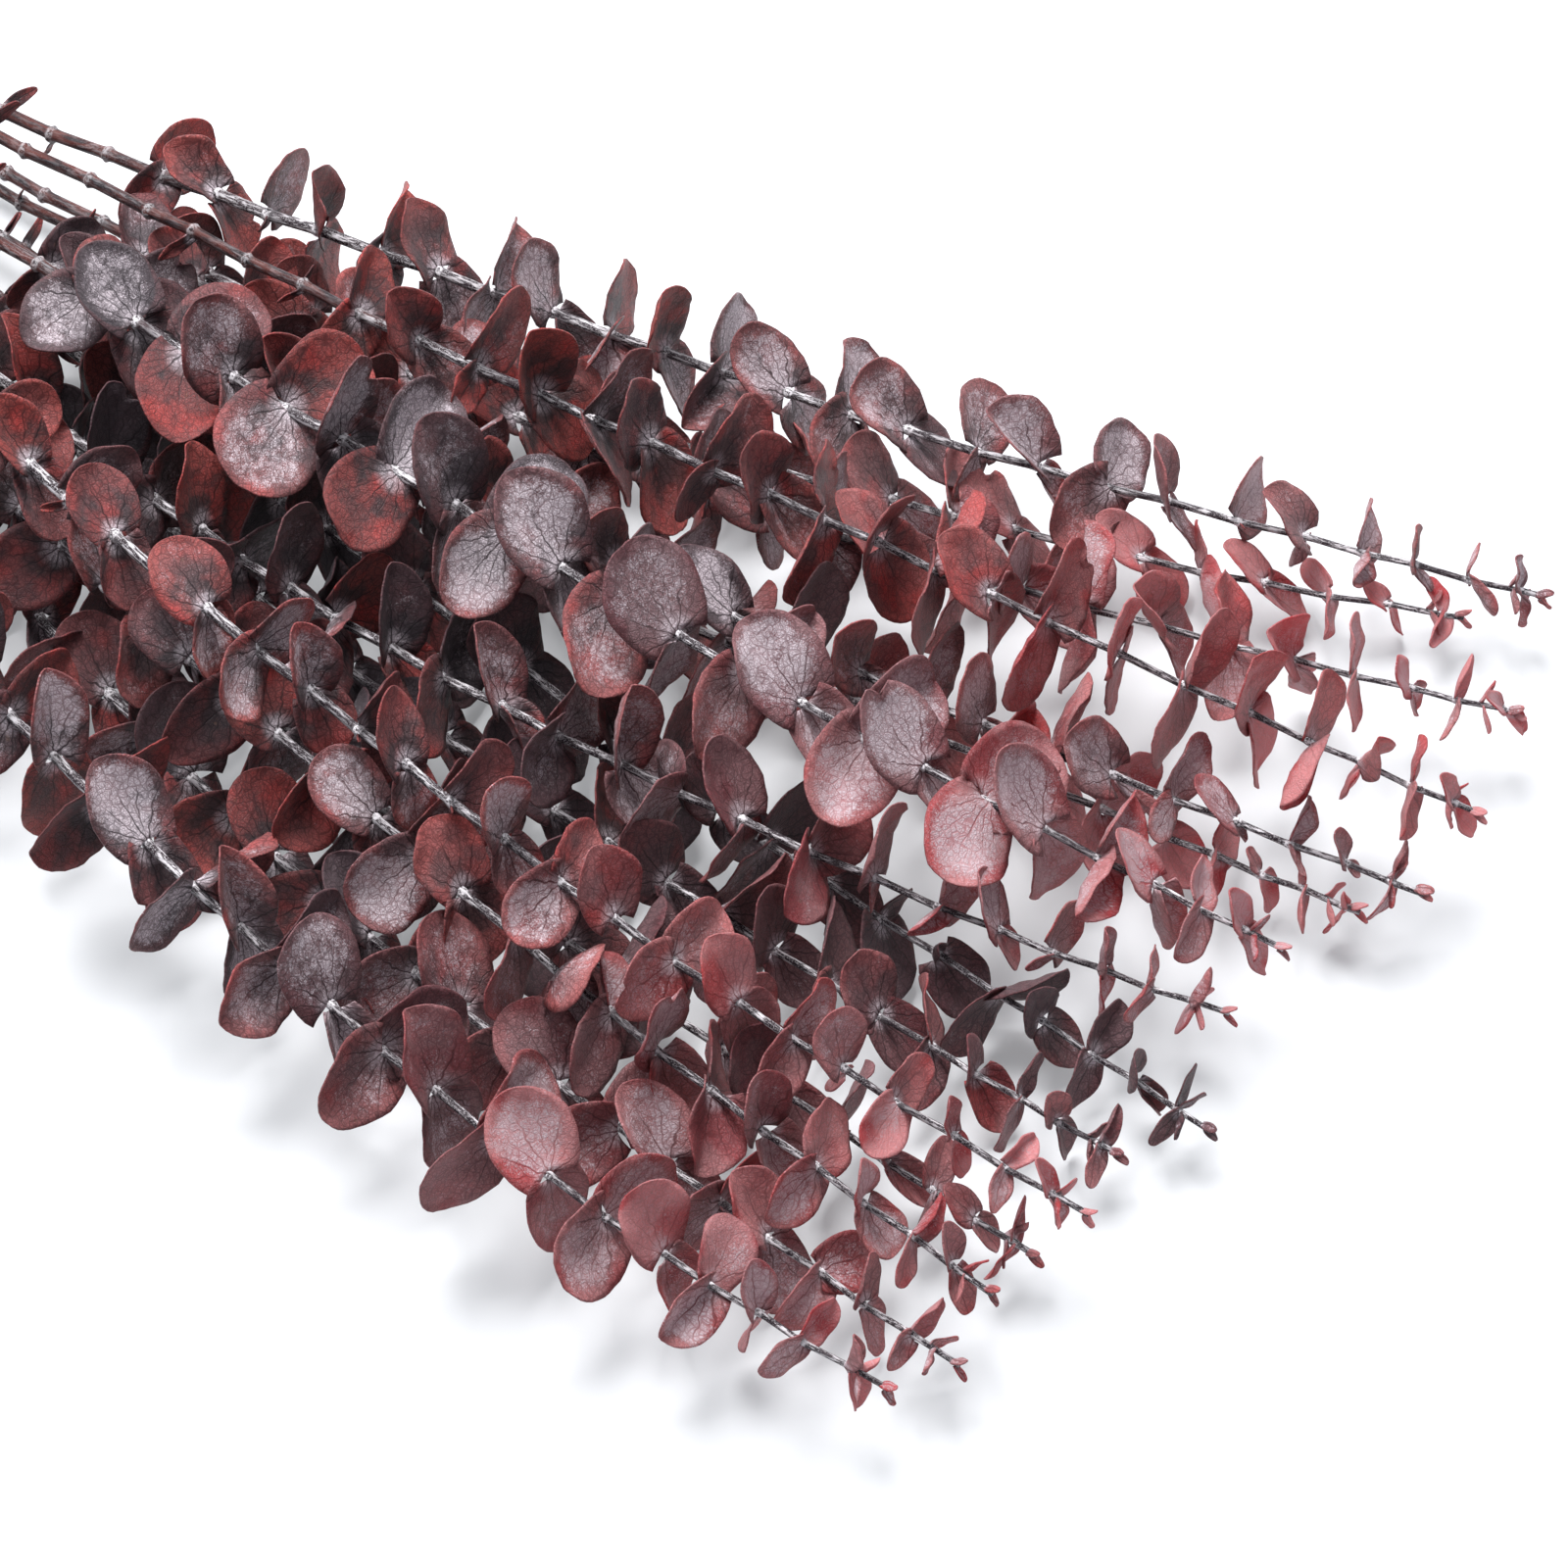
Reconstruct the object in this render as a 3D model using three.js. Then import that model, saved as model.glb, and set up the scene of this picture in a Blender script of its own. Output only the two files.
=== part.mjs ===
// A bunch of dried eucalyptus lying on a surface: fifteen leafy branches fanned out
// from their cut ends.
// The frame is in millimetres with +Z up. The cut ends are at low X, the tips at high X.
// The origin is on the surface, under the middle of the bunch.
//
// Each branch is one stem with its leaves in pairs, and each pair stands across the pair
// before it. The leaves of a branch are made as two rows, one on each side of the stem. The
// leaves of a row hold together along a rib as thin as a petiole, which runs beside the stem.

import * as THREE from 'three';

// ---- Overall sizes ----
const bunchReach = 672;        // from the point where the fan would meet, to a middling tip
const cutEndReach = 90;        // from that point to the cut ends
const fanSpread = 1;           // multiplies every branch's bearing

// ---- Stems ----
const stemDiameterAtCut = 4.2;
const stemDiameterAtTip = 1.5;
const stemSides = 5;
const stemStep = 36;           // length between the rings of a stem
const laneGap = 0.8;           // least clear space between neighbouring cut ends
const laneSpread = 1.6;        // cut ends of a layer lie this many times wider than that
const cutEndScatter = 9;       // how unevenly the stems are cut
const wander = 1.2;            // how far a stem strays from its smooth run
const wanderLength = 300;
const midShare = 0.56;         // where a branch passes its bearing midway, as a share of its run

// ---- Heights of the three layers of branches, at the cut ends, midway and at the tips ----
const bellyHeight = { low: 15, middle: 32, top: 50 };
const tipHeight = { low: 13, middle: 20, top: 27 };
const cutEndLayer = { low: 0, middle: 1, top: 2 };
const bellyUnevenness = 2;
const tipUnevenness = 3;

// ---- Leaves ----
const leafSize = 23;           // full length and width of a middling leaf
const leafThickness = 1.0;     // at the thick part by the petiole
const pairSpacing = 17.5;      // along the stem, between full-sized pairs
const smallestLeaf = 12;       // shorter leaves, near the tips, are too fine to be solids
const tipLeafShare = 0.5;      // size of the last leaf as a share of the full size
const fullLeafUntil = 0.70;    // share of the leafy run that has full-sized leaves
const crossingAngle = 80;      // between one pair and the next, in degrees round the stem
const lean = { usual: 2, spread: 12, most: 48 };   // towards the tip, in degrees
const twist = 10;              // of a leaf about its midrib, at most, in degrees
const upturnSpread = 20;       // how unevenly the pairs of a branch face upwards, in degrees
const cupShare = 0.05;         // depth of a leaf's hollow as a share of its size
const ribRadius = 0.7;
const ribGap = 0.3;            // least clear space between a stem and what is beside it
const ribStandOff = 0.6;       // what the ribs stand off beyond that, for the tails of the leaves
const lowShoulder = [-0.5, 0.7];   // corners of the outline, in half lengths and half widths
const highShoulder = [0.4, 0.9];
const petioleReach = 1.3;      // from the tail of a leaf to the middle of its rib
const leafClearanceShare = 0.0522;                       // of the leaf size, as larger leaves bow more
const leafClearance = leafSize * leafClearanceShare;     // between one leaf and the next
const floorClearance = 0.5;
const stemFeelerStep = 4;      // between the places where leaves feel for the stems

// ---- The branches, from the +Y side to the -Y side ----
// Bearings are in degrees from +X, seen from the point where the fan would meet: midway
// along the branch and at its tip. Extra is the branch's own length over the middling one.
// Bare is the length of stem without leaves, beyond the cut end. Upturn is how far the
// pairs turn from facing the tip to facing upwards, in degrees.
const branches = [
  { layer: 'middle', bearingMid: 8.0, bearingTip: 12.5, extra: 0, bare: 185, size: 0.95, upturn: 28 },
  { layer: 'low', bearingMid: 5.5, bearingTip: 11.6, extra: -18, bare: 190, size: 0.9, upturn: 30 },
  { layer: 'middle', bearingMid: 3.0, bearingTip: 9.1, extra: 8, bare: 200, size: 0.95, upturn: 26 },
  { layer: 'top', bearingMid: 2.6, bearingTip: 5.7, extra: 15, bare: 275, size: 1.02, upturn: 14 },
  { layer: 'middle', bearingMid: -1.0, bearingTip: 3.9, extra: 12, bare: 190, size: 0.95, upturn: 28 },
  { layer: 'low', bearingMid: -0.5, bearingTip: 3.0, extra: 0, bare: 200, size: 0.95, upturn: 24 },
  { layer: 'top', bearingMid: -3.6, bearingTip: 0.5, extra: -6, bare: 215, size: 1.14, upturn: 46 },
  { layer: 'middle', bearingMid: -8.0, bearingTip: -1.2, extra: -8, bare: 150, size: 0.98, upturn: 10 },
  { layer: 'low', bearingMid: -4.6, bearingTip: -3.4, extra: 6, bare: 180, size: 0.95, upturn: 18 },
  { layer: 'low', bearingMid: -8.2, bearingTip: -5.2, extra: -6, bare: 170, size: 0.95, upturn: 16 },
  { layer: 'top', bearingMid: -12.4, bearingTip: -7.2, extra: 4, bare: 160, size: 0.85, upturn: 32 },
  { layer: 'low', bearingMid: -11.6, bearingTip: -8.2, extra: -2, bare: 170, size: 0.95, upturn: 22 },
  { layer: 'middle', bearingMid: -13.2, bearingTip: -9.8, extra: 2, bare: 160, size: 0.98, upturn: 26 },
  { layer: 'low', bearingMid: -15.2, bearingTip: -11.2, extra: 8, bare: 160, size: 1.0, upturn: 30 },
  { layer: 'middle', bearingMid: -19.2, bearingTip: -12.8, extra: 4, bare: 150, size: 1.0, upturn: 20 },
];

const degree = Math.PI / 180;

// A repeatable number between -1 and 1 for one trait of one leaf.
function unevenness(branch, pair, trait) {
  const wave = Math.sin(branch * 12.9898 + pair * 78.233 + trait * 37.719) * 437.585;
  return 2 * (wave - Math.floor(wave)) - 1;
}

function smooth(from, to, value) {
  const share = Math.min(1, Math.max(0, (value - from) / (to - from)));
  return share * share * (3 - 2 * share);
}

// ---- The run of a stem ----

// The value at `share` of a smooth curve through three values, the second one at `middle`.
function throughThree(first, second, third, middle, share) {
  const a = first * (share - middle) * (share - 1) / middle;
  const b = second * share * (share - 1) / (middle * (middle - 1));
  const c = third * share * (share - middle) / (1 - middle);
  return a + b + c;
}

// Places within its layer and across the bundle, for the cut end of each branch.
function cutEndPlace(index) {
  const pitch = stemDiameterAtCut + laneGap;
  const branch = branches[index];
  const mates = branches.filter((other) => other.layer === branch.layer);
  const place = mates.indexOf(branch) - (mates.length - 1) / 2;
  return {
    y: -place * pitch * laneSpread * fanSpread,
    z: stemDiameterAtCut / 2 + cutEndLayer[branch.layer] * (pitch + wander),
  };
}

function stemPoint(index, share) {
  const branch = branches[index];
  const reach = bunchReach + branch.extra;
  const cut = cutEndPlace(index);
  const cutX = cutEndReach + cutEndScatter * unevenness(index, 0, 1);
  const tipX = reach * Math.cos(branch.bearingTip * fanSpread * degree);
  const tipY = reach * Math.sin(branch.bearingTip * fanSpread * degree);
  const midX = cutX + (tipX - cutX) * midShare;
  const midY = midX * Math.tan(branch.bearingMid * fanSpread * degree);
  const belly = bellyHeight[branch.layer] + bellyUnevenness * unevenness(index, 0, 2);
  const tip = tipHeight[branch.layer] + tipUnevenness * unevenness(index, 0, 3);
  const x = cutX + (tipX - cutX) * share;
  const fade = Math.sin(Math.PI * share);
  const phase = 2 * Math.PI * x / wanderLength + 3 * index;
  return new THREE.Vector3(
    x,
    throughThree(cut.y, midY, tipY, midShare, share) + wander * fade * Math.sin(phase),
    throughThree(cut.z, belly, tip, midShare, share) + wander * fade * Math.cos(phase) * 0.6,
  );
}

function stemRadius(share) {
  return (stemDiameterAtCut + (stemDiameterAtTip - stemDiameterAtCut) * share) / 2;
}

// The directions along, beside and above a stem at one place.
function stemFrame(index, share) {
  const ahead = stemPoint(index, share + 0.001);
  const behind = stemPoint(index, share - 0.001);
  const along = ahead.sub(behind).normalize();
  const side = new THREE.Vector3(0, 0, 1).cross(along).normalize();
  const above = new THREE.Vector3().crossVectors(along, side);
  return { along, side, above };
}

function awayFromStem(frame, angle) {
  return frame.side.clone().multiplyScalar(Math.cos(angle))
    .addScaledVector(frame.above, Math.sin(angle));
}

// A closed tapered tube through the places given as shares of a stem's run. It lies
// `offset(share)` away from the stem's middle, at a fixed angle round it.
function tubeAlongStem(index, shares, sides, radius, offset, angle) {
  const points = [];
  const triangles = [];
  for (const share of shares) {
    const frame = stemFrame(index, share);
    const middle = stemPoint(index, share).addScaledVector(awayFromStem(frame, angle), offset(share));
    for (let k = 0; k < sides; k++) {
      const turn = angle + 2 * Math.PI * k / sides;
      const corner = middle.clone().addScaledVector(awayFromStem(frame, turn), radius(share));
      points.push(corner);
    }
  }
  for (let ring = 0; ring + 1 < shares.length; ring++) {
    for (let k = 0; k < sides; k++) {
      const a = ring * sides + k;
      const b = ring * sides + (k + 1) % sides;
      triangles.push(a, b, a + sides, b, b + sides, a + sides);
    }
  }
  const last = (shares.length - 1) * sides;
  for (let k = 1; k + 1 < sides; k++) {
    triangles.push(0, k + 1, k);
    triangles.push(last, last + k, last + k + 1);
  }
  return closedMesh(points, triangles);
}

function sharesBetween(from, to, count) {
  return Array.from({ length: count + 1 }, (_, k) => from + (to - from) * k / count);
}

function stemLength(index) {
  return stemPoint(index, 1).distanceTo(stemPoint(index, 0));
}

// ---- Where the leaves are ----

// The leaf nodes of one branch, from the first pair above the bare stem to the tip.
function leafNodes(index) {
  const branch = branches[index];
  const run = stemLength(index);
  const nodes = [];
  let travelled = branch.bare;
  while (travelled < run - 3) {
    const share = travelled / run;
    const leafy = (travelled - branch.bare) / (run - branch.bare);
    const shrink = 1 - (1 - tipLeafShare) * smooth(fullLeafUntil, 1, leafy) ** 1.6;
    const opening = 0.82 + 0.18 * smooth(0, 0.15, leafy);
    const size = leafSize * branch.size * shrink * opening;
    nodes.push({ share, size, number: nodes.length });
    travelled += pairSpacing * (0.3 + 0.7 * shrink) * (1 + 0.12 * unevenness(index, nodes.length, 4));
  }
  return nodes;
}

// A leaf's own directions: along its midrib, across it, and out of its face. The face
// looks towards the tip of the branch. Cup is how far the middle sinks below the rim.
function placeLeaf(spot, swing, sweep, scale) {
  const { frame, ribCentre } = spot;
  const outward = awayFromStem(frame, spot.angle + swing);
  const midrib = outward.multiplyScalar(Math.cos(sweep)).addScaledVector(frame.along, Math.sin(sweep));
  const flat = new THREE.Vector3().crossVectors(midrib, frame.along).normalize();
  const face = new THREE.Vector3().crossVectors(flat, midrib);
  const across = flat.multiplyScalar(Math.cos(spot.roll)).addScaledVector(face, Math.sin(spot.roll));
  const normal = new THREE.Vector3().crossVectors(across, midrib);
  const root = ribCentre.clone().addScaledVector(midrib, -petioleReach);
  const length = spot.length * scale;
  const width = spot.width * scale;
  const cup = spot.cup * scale;
  const centre = root.clone().addScaledVector(midrib, length / 2).addScaledVector(normal, -cup);
  return { spot, root, midrib, across, normal, length, width, cup, centre };
}

// A place on a leaf: x runs along the midrib and y across it, both from -1 to 1.
function leafPoint(leaf, x, y) {
  return leaf.centre.clone()
    .addScaledVector(leaf.midrib, x * leaf.length / 2)
    .addScaledVector(leaf.across, y * leaf.width / 2)
    .addScaledVector(leaf.normal, leaf.cup * (x * x + y * y));
}

const feelers = [[0, 0]];
for (const [count, reach] of [[6, 0.4], [12, 0.72], [20, 1]]) {
  for (let k = 0; k < count; k++) {
    const turn = (k * 360 / count) * degree;
    feelers.push([reach * Math.cos(turn), reach * Math.sin(turn)]);
  }
}

function feelPoints(leaf) {
  return feelers.map(([x, y]) => leafPoint(leaf, x, y));
}

// Whether any of the points comes within `reach` of a leaf's surface, or whether they lie
// on both of its sides.
function meetsLeaf(leaf, points, reach) {
  let lowest = Infinity;
  let highest = -Infinity;
  const halfLength = leaf.length / 2 + reach;
  const halfWidth = leaf.width / 2 + reach;
  for (const point of points) {
    const dx = point.x - leaf.centre.x;
    const dy = point.y - leaf.centre.y;
    const dz = point.z - leaf.centre.z;
    const x = (dx * leaf.midrib.x + dy * leaf.midrib.y + dz * leaf.midrib.z) / halfLength;
    const y = (dx * leaf.across.x + dy * leaf.across.y + dz * leaf.across.z) / halfWidth;
    const round = x * x + y * y;
    if (round < 1) {
      const height = dx * leaf.normal.x + dy * leaf.normal.y + dz * leaf.normal.z;
      lowest = Math.min(lowest, height - leaf.cup * round);
      highest = Math.max(highest, height - leaf.cup * round);
    }
  }
  return lowest < reach && highest > -reach;
}

// Whether a leaf is clear of the floor, of its own stem, of every stem nearby and of every
// leaf that is already in place.
function isClear(leaf, placed, stemPoints) {
  leaf.points = feelPoints(leaf);
  if (leaf.points.some((point) => point.z < floorClearance)) {
    return false;
  }
  const nearness = leafSize * 1.4;
  for (const stem of stemPoints) {
    if (stem.index !== leaf.spot.index && stem.middle.distanceTo(leaf.centre) < nearness) {
      if (meetsLeaf(leaf, [stem.middle], stem.girth)) {
        return false;
      }
    }
  }
  for (const other of placed) {
    if (other.centre.distanceTo(leaf.centre) < nearness) {
      if (meetsLeaf(other, leaf.points, leafClearance) || meetsLeaf(leaf, other.points, leafClearance)) {
        return false;
      }
    }
  }
  return clearsOwnStem(leaf);
}

// The two edges that leave the petiole must pass the branch's own stem.
function clearsOwnStem(leaf) {
  const { middle, frame, radius } = leaf.spot;
  for (const side of [-1, 1]) {
    const corner = leafPoint(leaf, lowShoulder[0], side * lowShoulder[1]);
    for (const share of [0, 0.1, 0.2, 0.3, 0.4, 0.6, 0.8]) {
      const point = leaf.root.clone().lerp(corner, share).sub(middle);
      point.addScaledVector(frame.along, -point.dot(frame.along));
      if (point.length() < radius + ribGap + 0.05) {
        return false;
      }
    }
  }
  return true;
}

const steepest = lean.most * degree;
const sweeps = [0, 10, -10, 20, -20, 30, -30, 40, -40];
const swings = [0, 12, -12, 24, -24];
const scales = [1, 0.92, 0.84, 0.74, 0.62, 0.5, 0.38, 0.26];
const witheredScale = 0.12;    // a leaf with no room at all is left as a withered stub

// Turns a leaf about its petiole until it is clear, and makes it smaller only then.
function settleLeaf(spot, placed, stemPoints) {
  for (const scale of scales) {
    for (const swing of swings) {
      for (const sweep of sweeps) {
        const tilt = THREE.MathUtils.clamp(spot.sweep + sweep * degree, -steepest, steepest);
        const leaf = placeLeaf(spot, swing * degree, tilt, scale);
        if (isClear(leaf, placed, stemPoints)) {
          return leaf;
        }
      }
    }
  }
  const withered = placeLeaf(spot, 0, steepest, witheredScale);
  withered.points = feelPoints(withered);
  return withered;
}

// The two ribs of a branch lie at this angle round the stem and opposite it.
function ribAngle(index) {
  return (45 + 20 * unevenness(index, 0, 5)) * degree;
}

function ribOffset(share) {
  return stemRadius(share) + ribGap + ribRadius + ribStandOff;
}

function leafSpot(index, node, row) {
  const frame = stemFrame(index, node.share);
  const rib = ribAngle(index) + row * Math.PI;
  const middle = stemPoint(index, node.share);
  const trait = 10 + row * 10;
  const tilt = (node.number % 2 === 0 ? -1 : 1) * crossingAngle / 2;
  const angle = rib + (tilt + 9 * unevenness(index, node.number, trait + 2)) * degree;
  const outward = awayFromStem(frame, angle);
  const across = new THREE.Vector3().crossVectors(outward, frame.along);
  const upward = branches[index].upturn + upturnSpread * unevenness(index, node.number, 7);
  const leaning = lean.usual + lean.spread * unevenness(index, node.number, trait + 3);
  const rolling = twist * unevenness(index, node.number, trait + 4);
  const length = node.size * (1 + 0.06 * unevenness(index, node.number, trait + 1));
  return {
    index,
    row,
    share: node.share,
    rib,
    ribCentre: middle.clone().addScaledVector(awayFromStem(frame, rib), ribOffset(node.share)),
    frame,
    middle,
    radius: stemRadius(node.share),
    angle,
    sweep: (leaning - upward * outward.z) * degree,
    roll: (rolling - upward * across.z) * degree,
    cup: node.size * cupShare * (1 + unevenness(index, node.number, trait + 5)),
    length,
    width: length * (1.02 + 0.08 * unevenness(index, node.number, trait + 6)),
  };
}

// Every leaf of the bunch, the low branches first.
function settleLeaves() {
  const stemPoints = [];
  branches.forEach((_, index) => {
    for (const share of sharesBetween(0, 1, Math.ceil(stemLength(index) / stemFeelerStep))) {
      const girth = ribOffset(share) + ribRadius;
      stemPoints.push({ index, middle: stemPoint(index, share), girth });
    }
  });
  const placed = [];
  for (const layer of ['low', 'middle', 'top']) {
    branches.forEach((branch, index) => {
      if (branch.layer === layer) {
        for (const node of leafNodes(index)) {
          for (const row of [0, 1]) {
            placed.push(settleLeaf(leafSpot(index, node, row), placed, stemPoints));
          }
        }
      }
    });
  }
  return placed;
}

// ---- Solids ----

// The corners of a leaf's outline, from the petiole round to the petiole again.
const outline = [
  [-1, 0],
  [lowShoulder[0], -lowShoulder[1]],
  [highShoulder[0], -highShoulder[1]],
  [1, 0],
  highShoulder,
  lowShoulder,
];

function closedMesh(points, triangles) {
  const geometry = new THREE.BufferGeometry();
  geometry.setAttribute('position', new THREE.Float32BufferAttribute(points.flatMap((p) => [...p]), 3));
  geometry.setIndex(triangles);
  return geometry;
}

// The three corners where the rib leaves one face of a leaf.
function ribCorners(leaf, height) {
  const { frame, rib, ribCentre } = leaf.spot;
  return [0, 1, 2].map((k) => {
    const corner = ribCentre.clone()
      .addScaledVector(awayFromStem(frame, rib + k * 120 * degree), ribRadius);
    const rise = height - corner.clone().sub(leaf.root).dot(leaf.normal);
    return corner.addScaledVector(frame.along, rise / frame.along.dot(leaf.normal));
  });
}

// Fills the band between an outer ring of corners and an inner ring of three. Both rings
// run the same way round the middle of the inner one.
function fillBand(leaf, points, outer, inner) {
  const middle = new THREE.Vector3();
  inner.forEach((corner) => middle.addScaledVector(points[corner], 1 / 3));
  const turnOf = (corner) => {
    const arm = points[corner].clone().sub(middle);
    return Math.atan2(arm.dot(leaf.across), arm.dot(leaf.midrib));
  };
  const byTurn = (ring) => {
    const turned = ring.map((corner) => ({ corner, turn: turnOf(corner) }));
    turned.sort((a, b) => a.turn - b.turn);
    return turned;
  };
  const [outside, inside] = [byTurn(outer), byTurn(inner)];
  const triangles = [];
  let [o, i] = [0, 0];
  while (o < outside.length || i < inside.length) {
    const nextOutside = outside[(o + 1) % outside.length];
    const nextInside = inside[(i + 1) % inside.length];
    const outTurn = nextOutside.turn + (o + 1 >= outside.length ? 360 * degree : 0);
    const inTurn = nextInside.turn + (i + 1 >= inside.length ? 360 * degree : 0);
    const outCorner = outside[o % outside.length].corner;
    const inCorner = inside[i % inside.length].corner;
    if (i >= inside.length || (o < outside.length && outTurn <= inTurn)) {
      triangles.push([inCorner, outCorner, nextOutside.corner]);
      o++;
    } else {
      triangles.push([inCorner, outCorner, nextInside.corner]);
      i++;
    }
  }
  return triangles;
}

// One closed body: every leaf of a row, with the rib running from each leaf to the next.
function leafRow(leaves) {
  const points = [];
  const triangles = [];
  leaves.forEach((leaf, number) => {
    const start = points.length;
    points.push(...outline.map(([x, y]) => leafPoint(leaf, x, y)));
    points.push(...ribCorners(leaf, -leafThickness / 2), ...ribCorners(leaf, leafThickness / 2));
    const rim = [0, 1, 2, 3, 4, 5].map((k) => start + k);
    const under = [6, 7, 8].map((k) => start + k);
    const over = [9, 10, 11].map((k) => start + k);
    for (const [a, b, c] of fillBand(leaf, points, rim, over)) {
      triangles.push(a, c, b);
    }
    for (const [a, b, c] of fillBand(leaf, points, rim, under)) {
      triangles.push(a, b, c);
    }
    if (number === 0) {
      triangles.push(under[0], under[2], under[1]);
    } else {
      const before = start - 3;
      for (let k = 0; k < 3; k++) {
        const next = (k + 1) % 3;
        triangles.push(before + k, before + next, under[next]);
        triangles.push(before + k, under[next], under[k]);
      }
    }
    if (number === leaves.length - 1) {
      triangles.push(over[0], over[1], over[2]);
    }
  });
  return closedMesh(points, triangles);
}

const leafColours = ['#6f2a2c', '#5d2629', '#7c2f30', '#4f2428'];
const stemColour = '#4a2f2c';

function stemMaterial() {
  return new THREE.MeshStandardMaterial({ color: stemColour, roughness: 0.75, metalness: 0 });
}

function leafMaterial(index) {
  const color = leafColours[index % leafColours.length];
  return new THREE.MeshStandardMaterial({ color, roughness: 0.7, metalness: 0 });
}

const branchesInPlace = new THREE.Group();
const leaves = settleLeaves();
branches.forEach((_, index) => {
  const number = String(index + 1).padStart(2, '0');
  const shares = sharesBetween(0, 1, Math.ceil(stemLength(index) / stemStep));
  const stem = tubeAlongStem(index, shares, stemSides, stemRadius, () => 0, 0);
  const stemMesh = new THREE.Mesh(stem, stemMaterial());
  stemMesh.name = `stem_${number}`;
  branchesInPlace.add(stemMesh);
  ['left', 'right'].forEach((side, row) => {
    const own = leaves.filter((leaf) => leaf.spot.index === index && leaf.spot.row === row
      && leaf.spot.length > smallestLeaf && leaf.length > smallestLeaf * 0.5);
    const mesh = new THREE.Mesh(leafRow(own), leafMaterial(index));
    mesh.name = `leaves_${number}_${side}`;
    branchesInPlace.add(mesh);
  });
});

// The origin goes under the middle of the bunch, at the height of its lowest point.
const reachOfBunch = new THREE.Box3().setFromObject(branchesInPlace);
const middleOfBunch = reachOfBunch.getCenter(new THREE.Vector3());
branchesInPlace.position.set(-middleOfBunch.x, -middleOfBunch.y, -reachOfBunch.min.z);

const bunch = new THREE.Group();
bunch.add(branchesInPlace);

export default bunch;
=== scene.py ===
import math

import bmesh
import bpy
import numpy as np
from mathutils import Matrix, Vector


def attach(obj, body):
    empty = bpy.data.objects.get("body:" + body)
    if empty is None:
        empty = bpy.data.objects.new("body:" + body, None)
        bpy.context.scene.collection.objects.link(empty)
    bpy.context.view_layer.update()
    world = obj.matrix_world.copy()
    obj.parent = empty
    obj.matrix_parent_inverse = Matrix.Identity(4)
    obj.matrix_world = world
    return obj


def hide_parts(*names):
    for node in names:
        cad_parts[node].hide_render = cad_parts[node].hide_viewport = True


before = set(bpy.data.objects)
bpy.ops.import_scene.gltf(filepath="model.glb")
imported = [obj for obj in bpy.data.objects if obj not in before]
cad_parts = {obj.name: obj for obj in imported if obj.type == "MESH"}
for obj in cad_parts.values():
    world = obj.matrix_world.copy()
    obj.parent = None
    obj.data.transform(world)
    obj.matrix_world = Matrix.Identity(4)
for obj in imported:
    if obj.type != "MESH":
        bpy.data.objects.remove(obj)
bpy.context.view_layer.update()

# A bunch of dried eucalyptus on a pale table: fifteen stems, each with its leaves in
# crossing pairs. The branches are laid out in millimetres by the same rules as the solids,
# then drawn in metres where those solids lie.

MM = 0.001
DEGREE = math.pi / 180

# ---- The layout of the solids, in millimetres ----
BUNCH_REACH = 672
CUT_END_REACH = 90
STEM_DIAMETER_AT_CUT = 4.2
STEM_DIAMETER_AT_TIP = 1.5
LANE_GAP = 0.8
LANE_SPREAD = 1.6
CUT_END_SCATTER = 9
WANDER = 1.2
WANDER_LENGTH = 300
MID_SHARE = 0.56
BELLY_HEIGHT = {"low": 15, "middle": 32, "top": 50}
TIP_HEIGHT = {"low": 13, "middle": 20, "top": 27}
CUT_END_LAYER = {"low": 0, "middle": 1, "top": 2}
BELLY_UNEVENNESS = 2
TIP_UNEVENNESS = 3
LEAF_SIZE = 23
PAIR_SPACING = 17.5
TIP_LEAF_SHARE = 0.5
FULL_LEAF_UNTIL = 0.70
CROSSING_ANGLE = 80
LEAN_USUAL, LEAN_SPREAD, LEAN_MOST = 2, 12, 48
UPTURN_SPREAD = 20
TWIST = 10
CUP_SHARE = 0.05
RIB_RADIUS = 0.7
RIB_GAP = 0.3
RIB_STAND_OFF = 0.6
LOW_SHOULDER = (-0.5, 0.7)
PETIOLE_REACH = 1.3
LEAF_CLEARANCE = 0.0522 * LEAF_SIZE
FLOOR_CLEARANCE = 0.5
STEM_FEELER_STEP = 4
SWEEPS = (0, 10, -10, 20, -20, 30, -30, 40, -40)
SWINGS = (0, 12, -12, 24, -24)
SCALES = (1, 0.92, 0.84, 0.74, 0.62, 0.5, 0.38, 0.26)
WITHERED_SCALE = 0.12
NEIGHBOURHOOD = 1.4 * LEAF_SIZE    # leaves and stems further off than this can't touch

# Each branch from the +Y side to the -Y side: its layer, its bearings midway and at the tip
# in degrees, its extra length, its bare length, the size of its leaves and how far they
# turn up to the light, in degrees.
BRANCHES = [
    ("middle", 8.0, 12.5, 0, 185, 0.95, 28),
    ("low", 5.5, 11.6, -18, 190, 0.9, 30),
    ("middle", 3.0, 9.1, 8, 200, 0.95, 26),
    ("top", 2.6, 5.7, 15, 275, 1.02, 14),
    ("middle", -1.0, 3.9, 12, 190, 0.95, 28),
    ("low", -0.5, 3.0, 0, 200, 0.95, 24),
    ("top", -3.6, 0.5, -6, 215, 1.14, 46),
    ("middle", -8.0, -1.2, -8, 150, 0.98, 10),
    ("low", -4.6, -3.4, 6, 180, 0.95, 18),
    ("low", -8.2, -5.2, -6, 170, 0.95, 16),
    ("top", -12.4, -7.2, 4, 160, 0.85, 32),
    ("low", -11.6, -8.2, -2, 170, 0.95, 22),
    ("middle", -13.2, -9.8, 2, 160, 0.98, 26),
    ("low", -15.2, -11.2, 8, 160, 1.0, 30),
    ("middle", -19.2, -12.8, 4, 150, 1.0, 20),
]
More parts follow.
